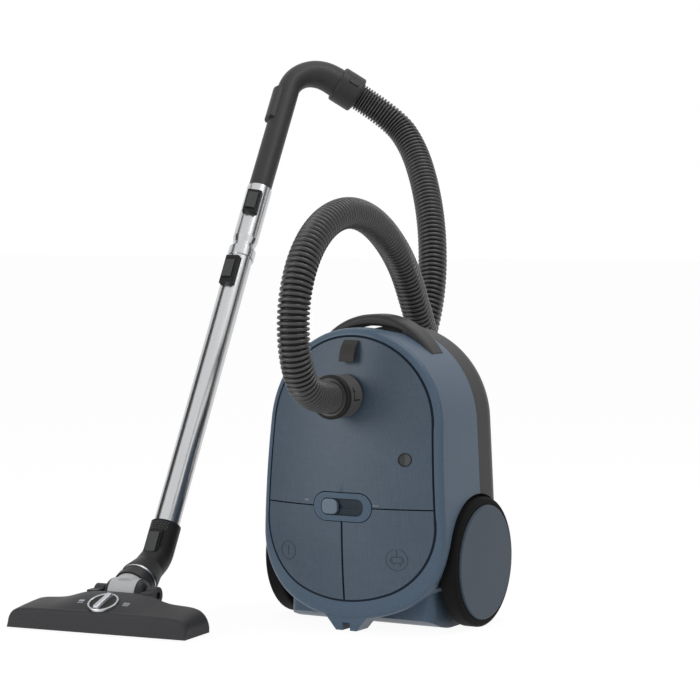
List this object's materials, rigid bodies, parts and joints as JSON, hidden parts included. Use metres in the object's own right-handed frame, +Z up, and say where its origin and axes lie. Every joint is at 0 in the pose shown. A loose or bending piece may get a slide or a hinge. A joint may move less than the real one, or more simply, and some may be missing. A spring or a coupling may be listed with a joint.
{
  "type": "canister vacuum cleaner",
  "caption": "Slate-blue bagged canister vacuum cleaner parked on its end, with ribbed hose, bent grip, telescopic chrome tube and tilting floor nozzle.",
  "frame": {"origin": "on the floor under the rest foot of the parked canister, in the wheel axle's vertical plane", "axes": "+Z up, +X to the side of the right wheel along the axle, -Y towards the front panel"},
  "size_m": [0.5415, 0.7179, 0.7614],
  "materials": {
    "blue_shell": "satin, slate blue",
    "blue_panel": "fine linen texture, slate blue",
    "dark_shell": "matt charcoal",
    "grey_plastic": "matt warm grey",
    "black_plastic": "matt black",
    "seal_rubber": "matt",
    "tyre_rubber": "matt",
    "hose_plastic": "ribbed, satin",
    "tube_chrome": "polished",
    "silver_ring": "satin silver",
    "nozzle_plastic": "matt slate grey",
    "window": "clear tinted",
    "flag_red": "matt red",
    "bag_fabric": "non-woven",
    "filter_foam": "filter fleece",
    "steel": "bare",
    "motor_steel": "laminations",
    "cord_rubber": "matt",
    "board_green": "circuit board"
  },
  "bodies": {
    "canister": {"upper_shell": "blue_shell", "lower_shell": "dark_shell", "carry_handle": "dark_shell", "panel_frame": "black_plastic", "lid_seal": "seal_rubber", "control_bezel": "blue_shell", "control_deck": "black_plastic", "control_board": "board_green", "bag_holder": "black_plastic", "dust_bag": "bag_fabric", "bulkhead": "black_plastic", "motor_filter": "filter_foam", "motor_housing": "black_plastic", "motor_stator": "motor_steel", "reel_frame": "black_plastic", "exhaust_filter": "filter_foam", "cord_gland": "seal_rubber", "housing_screws": "steel", "wheel_axles": "steel", "parking_bracket": "blue_shell", "rest_foot": "blue_shell", "hose": "hose_plastic"},
    "lid": {"lid": "blue_panel", "bag_window": "window", "hose_cuff": "grey_plastic"},
    "latch": {"lid_latch": "grey_plastic"},
    "flag": {"bag_flag": "flag_red"},
    "speed_slider": {"power_slider": "blue_shell"},
    "power_key": {"power_pedal": "blue_panel"},
    "rewind_key": {"rewind_pedal": "blue_panel"},
    "brake": {"reel_brake": "black_plastic"},
    "rotor": {"motor_rotor": "motor_steel"},
    "reel": {"reel_drum": "black_plastic", "cord_coil": "cord_rubber"},
    "grille": {"exhaust_grille": "dark_shell"},
    "right_wheel": {"right_tyre": "tyre_rubber", "right_hub": "blue_shell"},
    "left_wheel": {"left_tyre": "tyre_rubber", "left_hub": "blue_shell"},
    "caster": {"caster_fork": "dark_shell"},
    "caster_roll": {"caster_wheel": "tyre_rubber"},
    "handle": {"hand_grip": "dark_shell", "end_cuff": "dark_shell", "inner_tube": "tube_chrome", "lock_housing": "black_plastic"},
    "air_slider": {"grip_slider": "dark_shell"},
    "hose_release": {"release_button": "dark_shell"},
    "grip_lock": {"lock_button": "grey_plastic"},
    "tube": {"outer_tube": "tube_chrome", "tele_housing": "black_plastic", "nozzle_neck": "nozzle_plastic", "swivel_ring": "silver_ring"},
    "tube_key": {"tele_button": "grey_plastic"},
    "neck_key": {"neck_button": "grey_plastic"},
    "drum": {"tilt_drum": "nozzle_plastic"},
    "nozzle": {"nozzle_cover": "nozzle_plastic", "nozzle_sole": "nozzle_plastic"},
    "dial": {"nozzle_dial": "silver_ring"},
    "brush": {"brush_strip": "bag_fabric"},
    "rollers": {"nozzle_rollers": "black_plastic"}
  },
  "joints": [
    {"name": "lid_hinge", "type": "hinge", "parent": "canister", "child": "lid", "pos_m": [0, -0.124, 0.16], "axis": [1, 0, 0], "range_deg": [0, 75], "deforming": ["hose"]},
    {"name": "latch_pivot", "type": "hinge", "parent": "lid", "child": "latch", "pos_m": [0, -0.0985, 0.37], "axis": [1, 0, 0], "range_deg": [-14, 0], "stiffness_Nm_per_rad": 0.6, "springref_deg": 8.59},
    {"name": "flag_slide", "type": "slide", "parent": "lid", "child": "flag", "axis": [0, 0.072, 0.9974], "range_m": [0, 0.014], "stiffness_N_per_m": 60, "springref_m": -0.01},
    {"name": "power_slide", "type": "slide", "parent": "canister", "child": "speed_slider", "axis": [1, 0, 0], "range_m": [0, 0.033]},
    {"name": "power_press", "type": "slide", "parent": "canister", "child": "power_key", "axis": [0, 1, 0], "range_m": [0, 0.004], "stiffness_N_per_m": 1500, "springref_m": -0.004},
    {"name": "rewind_press", "type": "slide", "parent": "canister", "child": "rewind_key", "axis": [0, 1, 0], "range_m": [0, 0.004], "stiffness_N_per_m": 1500, "springref_m": -0.004},
    {"name": "brake_tilt", "type": "hinge", "parent": "canister", "child": "brake", "pos_m": [0, -0.07735, 0.146], "axis": [1, 0, 0], "range_deg": [0, 6]},
    {"name": "rotor_spin", "type": "hinge", "parent": "canister", "child": "rotor", "pos_m": [-0.046, -0.018, 0.1], "axis": [0, 0, 1], "continuous": true},
    {"name": "reel_spin", "type": "hinge", "parent": "canister", "child": "reel", "pos_m": [0.04, -0.01, 0.09], "axis": [1, 0, 0], "continuous": true},
    {"name": "grille_hinge", "type": "hinge", "parent": "canister", "child": "grille", "pos_m": [0, 0.0708, 0.0686], "axis": [-1, 0, 0], "range_deg": [0, 50]},
    {"name": "right_wheel_spin", "type": "hinge", "parent": "canister", "child": "right_wheel", "pos_m": [0.13, 0, 0.084], "axis": [1, 0, 0], "continuous": true},
    {"name": "left_wheel_spin", "type": "hinge", "parent": "canister", "child": "left_wheel", "pos_m": [-0.13, 0, 0.084], "axis": [1, 0, 0], "continuous": true},
    {"name": "caster_swivel", "type": "hinge", "parent": "canister", "child": "caster", "pos_m": [0, 0.06, 0.33], "axis": [0, 1, 0], "continuous": true},
    {"name": "caster_spin", "type": "hinge", "parent": "caster", "child": "caster_roll", "pos_m": [0, 0.0715, 0.321], "axis": [1, 0, 0], "continuous": true},
    {"name": "handle_swivel", "type": "hinge", "parent": "canister", "child": "handle", "pos_m": [-0.24783, 0.35692, 0.71002], "axis": [0.6859, 0.5053, -0.5237], "range_deg": [-20, 0]},
    {"name": "air_slide", "type": "slide", "parent": "handle", "child": "air_slider", "axis": [-0.0467, 0.5386, 0.8412], "range_m": [0, 0.012]},
    {"name": "hose_release_press", "type": "slide", "parent": "handle", "child": "hose_release", "axis": [-0.7218, 0.5639, -0.4012], "range_m": [0, 0.0014], "stiffness_N_per_m": 800, "springref_m": -0.002},
    {"name": "grip_lock_press", "type": "slide", "parent": "handle", "child": "grip_lock", "axis": [-0.3377, 0.7862, -0.5176], "range_m": [0, 0.002], "stiffness_N_per_m": 800, "springref_m": -0.002},
    {"name": "tube_slide", "type": "slide", "parent": "handle", "child": "tube", "axis": [0.0527, -0.5332, -0.8443], "range_m": [0, 0.33]},
    {"name": "tube_key_press", "type": "slide", "parent": "tube", "child": "tube_key", "axis": [-0.083, 0.8402, -0.5358], "range_m": [0, 0.002], "stiffness_N_per_m": 800, "springref_m": -0.002},
    {"name": "neck_key_press", "type": "slide", "parent": "tube", "child": "neck_key", "axis": [-0.083, 0.8402, -0.5358], "range_m": [0, 0.0016], "stiffness_N_per_m": 800, "springref_m": -0.002},
    {"name": "neck_swivel", "type": "hinge", "parent": "tube", "child": "drum", "pos_m": [-0.27065, -0.21193, 0.04], "axis": [-0.0891, 0.9019, 0.4226], "range_deg": [-60, 60]},
    {"name": "nozzle_tilt", "type": "hinge", "parent": "drum", "child": "nozzle", "pos_m": [-0.27065, -0.21193, 0.04], "axis": [0.9952, 0.0983, 0], "range_deg": [-30, 30]},
    {"name": "dial_turn", "type": "hinge", "parent": "nozzle", "child": "dial", "pos_m": [-0.26436, -0.27562, 0.036], "axis": [0.0384, -0.3888, 0.9205], "range_deg": [0, 90]},
    {"name": "brush_lift", "type": "slide", "parent": "nozzle", "child": "brush", "axis": [0, 0, 1], "range_m": [0, 0.00402]},
    {"name": "roller_spin", "type": "hinge", "parent": "nozzle", "child": "rollers", "pos_m": [-0.26701, -0.24875, 0.0075], "axis": [0.9952, 0.0983, 0], "continuous": true}
  ],
  "couplings": [
    {"joint": "brake_tilt", "follows": "rewind_press", "rad_per_m": 20},
    {"joint": "brush_lift", "follows": "dial_turn", "m_per_rad": 0.002546}
  ]
}
